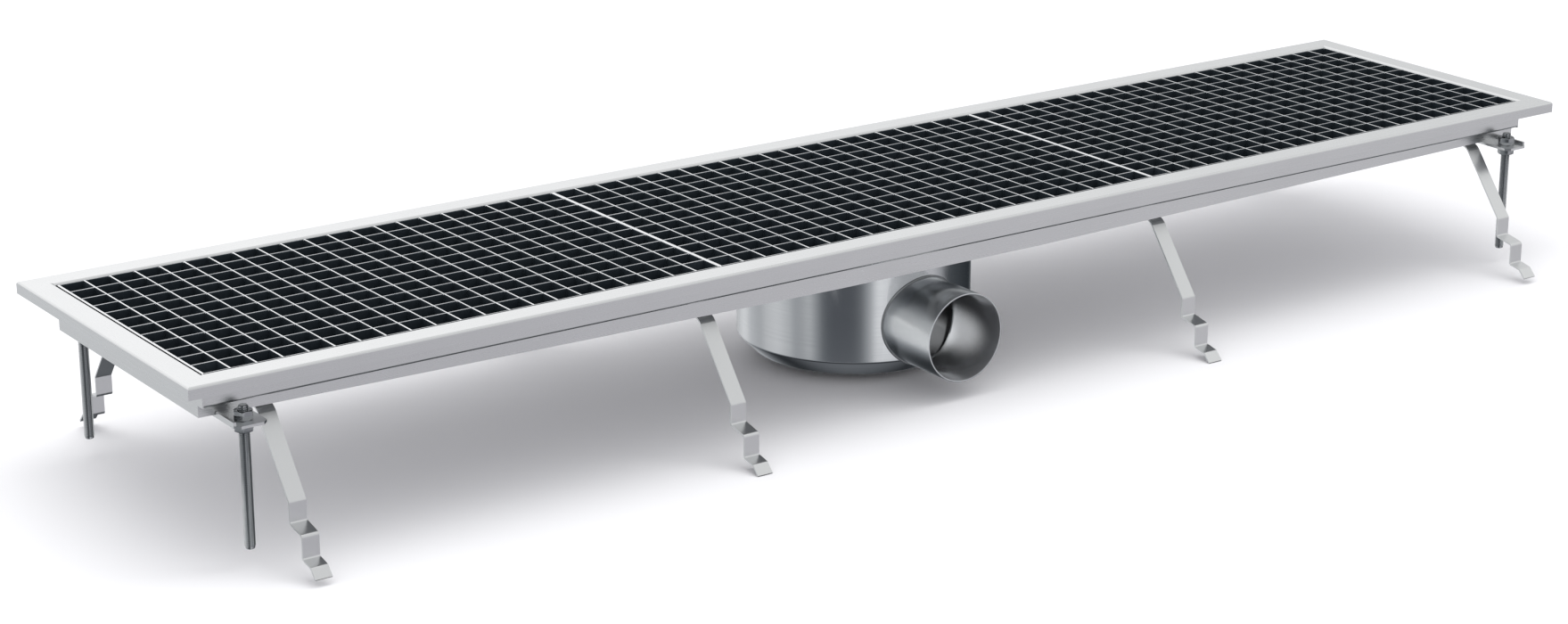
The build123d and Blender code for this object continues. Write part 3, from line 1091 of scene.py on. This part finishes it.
    def world(self) -> None:
        """Surrounds the scene: white for the camera, an even dome for matt surfaces, and the
        screens, the overhead cloth and the dark below for metal."""
        world = bpy.data.worlds.new("soft studio")
        bpy.context.scene.world = world
        world.use_nodes = True
        tree = world.node_tree
        tree.nodes.clear()
        place = add_node(tree, "ShaderNodeTexCoord")
        parts = add_node(tree, "ShaderNodeSeparateXYZ", links={0: place.outputs["Generated"]})
        height = parts.outputs["Z"]
        angle = add_node(tree, "ShaderNodeMath", links={0: parts.outputs["Y"],
                                                        1: parts.outputs["X"]},
                         operation="ARCTAN2")
        compass = add_node(tree, "ShaderNodeMath", {1: math.degrees(1)}, {0: angle.outputs[0]},
                           operation="MULTIPLY").outputs[0]
        screens = self.tones(tree, compass, self.screens)
        overhead = self.tones(tree, compass, self.overhead)
        below = self.tones(tree, height, self.below)
        rise, sink = (add_node(tree, "ShaderNodeMapRange", {"From Min": start, "From Max": end},
                               {"Value": height}, interpolation_type="SMOOTHSTEP")
                      for start, end in (self.rise, self.sink))
        upper = add_node(tree, "ShaderNodeMix", links={"Factor": rise.outputs["Result"],
                                                       6: screens, 7: overhead},
                         data_type="RGBA")
        around = add_node(tree, "ShaderNodeMix", links={"Factor": sink.outputs["Result"],
                                                        6: upper.outputs[2], 7: below},
                          data_type="RGBA")
        path = add_node(tree, "ShaderNodeLightPath")
        metal = add_node(tree, "ShaderNodeBackground", {"Strength": self.level},
                         {"Color": around.outputs[2]})
        share = add_node(tree, "ShaderNodeMapRange", {"To Min": self.fill,
                                                      "To Max": self.rebound},
                         {"Value": path.outputs["Is Glossy Ray"]})
        matt = add_node(tree, "ShaderNodeBackground", {"Color": linear(self.sky_tone)},
                        {"Strength": share.outputs["Result"]})
        white = add_node(tree, "ShaderNodeBackground", {"Color": linear(WHITE),
                                                        "Strength": 1.0})
        lit = add_node(tree, "ShaderNodeMixShader",
                       links={0: self.first_mirror(tree), 1: matt.outputs[0],
                              2: metal.outputs[0]})
        seen = add_node(tree, "ShaderNodeMixShader",
                        links={0: path.outputs["Is Camera Ray"], 1: lit.outputs[0],
                               2: white.outputs[0]})
        add_node(tree, "ShaderNodeOutputWorld", links={"Surface": seen.outputs[0]})

    def camera(self) -> None:
        """Places the camera where the photograph was taken from."""
        data = bpy.data.cameras.new("camera")
        data.lens = self.lens
        data.sensor_width = self.sensor
        data.sensor_fit = "HORIZONTAL"
        camera = bpy.data.objects.new("camera", data)
        bpy.context.scene.collection.objects.link(camera)
        camera.location = self.camera_place
        camera.rotation_euler = (math.radians(90 - self.elevation), 0.0,
                                 -math.radians(self.azimuth))
        bpy.context.scene.camera = camera


@dataclass
class CarriedNodes:
    """The CAD nodes whose shape stays, each with the finish of its real surface."""

    ground_x: tuple[str, ...] = ("channel_trough",)
    ground_y: tuple[str, ...] = ("end_plate_left", "end_plate_right")
    turned: tuple[str, ...] = ("neck_ring", "dip_tube", "trap_cup", "strainer_basket")

    def dress(self, along: bpy.types.Material, across: bpy.types.Material,
              strap: bpy.types.Material, turned: bpy.types.Material,
              bright: bpy.types.Material, rubber: bpy.types.Material) -> None:
        """Gives every carried node its material.

        Args:
            along: Sheet ground along the channel.
            across: Sheet ground across the channel.
            strap: Strip ground along its length, for straps and brackets.
            turned: Spun and turned parts.
            bright: Drawn wire.
            rubber: The seal.
        """
        finishes = {name: along for name in self.ground_x}
        finishes.update({name: across for name in self.ground_y})
        finishes.update({name: turned for name in self.turned})
        finishes["basket_handle"] = bright
        finishes["trap_seal"] = rubber
        for corner in CORNERS:
            finishes["bracket_" + corner] = strap
        for side in ("front", "rear"):
            for number in (1, 2, 3, 4):
                finishes[f"anchor_{side}_{number}"] = strap
        for name, material in finishes.items():
            dress(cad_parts[name], material)
            LOG.info("%s: %s", name, material.name)


def main() -> None:
    """Builds the finishes, the pieces and the studio."""
    logging.basicConfig(level=logging.INFO, format="%(message)s")
    along = GroundSheet("stainless sheet ground lengthways", Grain.ALONG_X).build()
    across = GroundSheet("stainless sheet ground crossways", Grain.ALONG_Y).build()
    strip = GroundSheet("stainless strip", Grain.ALONG_Z, roughness=(0.28, 0.285),
                        depth=0.001 * MM).build()
    turned = TurnedSteel("spun stainless steel").build()
    tube = BrightSteel("drawn stainless tube", "#dadcde", "#d0d3d5", (0.2, 0.25)).build()
    pickled = BrightSteel("pickled stainless inside", "#b4b6b8", "#a8aaad", (0.18, 0.24),
                          matt=0.25).build()
    bars = BrightSteel("electropolished stainless bars", "#f2f3f4", "#e6e7e9").build()
    # Painted reflection: the bars' bright finish, painted dimmer for the lengthways bars.
    crossing = BrightSteel("ground stainless cross bars", "#bcbec0", "#b0b2b5").build()
    # Painted shade: near-black finish for the bars' flanks and inner edges.
    scale = OxideScale("rolled stainless flank with scale").build()
    thread = BrightSteel("rolled stainless thread", "#b4b6b8", "#a5a8ab", (0.12, 0.17)).build()
    formed = BrightSteel("cold-formed stainless nuts", "#a6a8ab", "#96999c", (0.12, 0.18)).build()
    weld = BrightSteel("pickled stainless weld", "#a9abad", "#8f9295", (0.35, 0.5),
                       1.5 * MM).build()
    rubber = MouldedRubber("moulded black rubber").build()
    CarriedNodes().dress(along, across, strip, turned, bars, rubber)
    MeshGratings().build(bars, crossing, scale)
    LevellingSet().build(thread, formed)
    Gully().build(turned, tube, pickled, weld)
    Studio().build()


if __name__ == "__main__":
    main()
